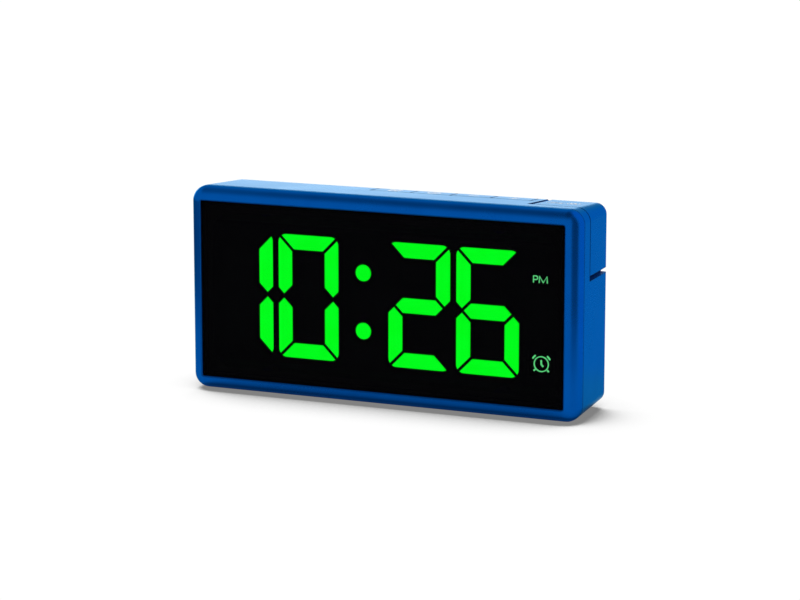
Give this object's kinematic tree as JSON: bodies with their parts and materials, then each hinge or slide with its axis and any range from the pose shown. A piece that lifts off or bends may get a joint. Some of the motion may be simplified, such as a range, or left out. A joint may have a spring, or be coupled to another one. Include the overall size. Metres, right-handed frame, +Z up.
{
  "type": "digital alarm clock",
  "caption": "Upright digital alarm clock with a rounded blue case, dark window, glowing seven-segment digits, push keys along the top, a corner snooze key and a twist battery cover.",
  "frame": {"origin": "middle of the clock's footprint, on the table under its foot pads", "axes": "+X to the right along the display as it is read, +Y to the rear, +Z up"},
  "size_m": [0.15, 0.0336, 0.0751],
  "materials": {
    "blue_case": "satin moulded blue",
    "dark_window": "polished, dark tinted",
    "black_plastic": "matt",
    "white_plastic": "matt",
    "green_light": "glowing resin",
    "pale_green_light": "glowing resin",
    "dark_resin": "unlit resin",
    "green_board": "solder resist",
    "steel": "plated",
    "aluminium_can": "satin",
    "spring_brass": "tinned spring sheet",
    "rubber": "matt"
  },
  "bodies": {
    "case": {"front_frame": "blue_case", "rear_housing": "blue_case", "display_window": "dark_window", "window_tape": "black_plastic", "reflector_block": "black_plastic", "lit_segments": "green_light", "unlit_segments": "dark_resin", "colon_dots": "green_light", "pm_indicator": "pale_green_light", "alarm_indicator": "pale_green_light", "led_chips": "white_plastic", "display_board": "green_board", "display_screws": "steel", "link_header": "black_plastic", "link_socket": "black_plastic", "control_board": "green_board", "control_screws": "steel", "control_chip": "black_plastic", "clock_crystal": "steel", "smoothing_capacitor": "aluminium_can", "buzzer": "black_plastic", "usb_socket": "steel", "switch_bodies": "black_plastic", "coin_cell": "steel", "cell_contact_plus": "spring_brass", "cell_contact_minus": "spring_brass", "case_screws": "steel", "foot_pads": "rubber"},
    "alarm_button": {"alarm_key": "blue_case", "alarm_plunger": "white_plastic"},
    "clock_button": {"clock_key": "blue_case", "clock_plunger": "white_plastic"},
    "minus_button": {"minus_key": "blue_case", "minus_plunger": "white_plastic"},
    "plus_button": {"plus_key": "blue_case", "plus_plunger": "white_plastic"},
    "snooze_button": {"snooze_key": "blue_case", "snooze_plunger": "white_plastic"},
    "cover": {"battery_cover": "blue_case"}
  },
  "joints": [
    {"name": "alarm_press", "type": "slide", "parent": "case", "child": "alarm_button", "axis": [0, 0, -1], "range_m": [0, 0.0006], "stiffness_N_per_m": 600, "springref_m": -0.0003},
    {"name": "clock_press", "type": "slide", "parent": "case", "child": "clock_button", "axis": [0, 0, -1], "range_m": [0, 0.0006], "stiffness_N_per_m": 600, "springref_m": -0.0003},
    {"name": "minus_press", "type": "slide", "parent": "case", "child": "minus_button", "axis": [0, 0, -1], "range_m": [0, 0.0006], "stiffness_N_per_m": 600, "springref_m": -0.0003},
    {"name": "plus_press", "type": "slide", "parent": "case", "child": "plus_button", "axis": [0, 0, -1], "range_m": [0, 0.0006], "stiffness_N_per_m": 600, "springref_m": -0.0003},
    {"name": "snooze_press", "type": "slide", "parent": "case", "child": "snooze_button", "axis": [0, 0, -1], "range_m": [0, 0.001], "stiffness_N_per_m": 800, "springref_m": -0.0003},
    {"name": "cover_twist", "type": "hinge", "parent": "case", "child": "cover", "pos_m": [-0.036, 0.0153, 0.03785], "axis": [0, 1, 0], "range_deg": [0, 60]}
  ]
}
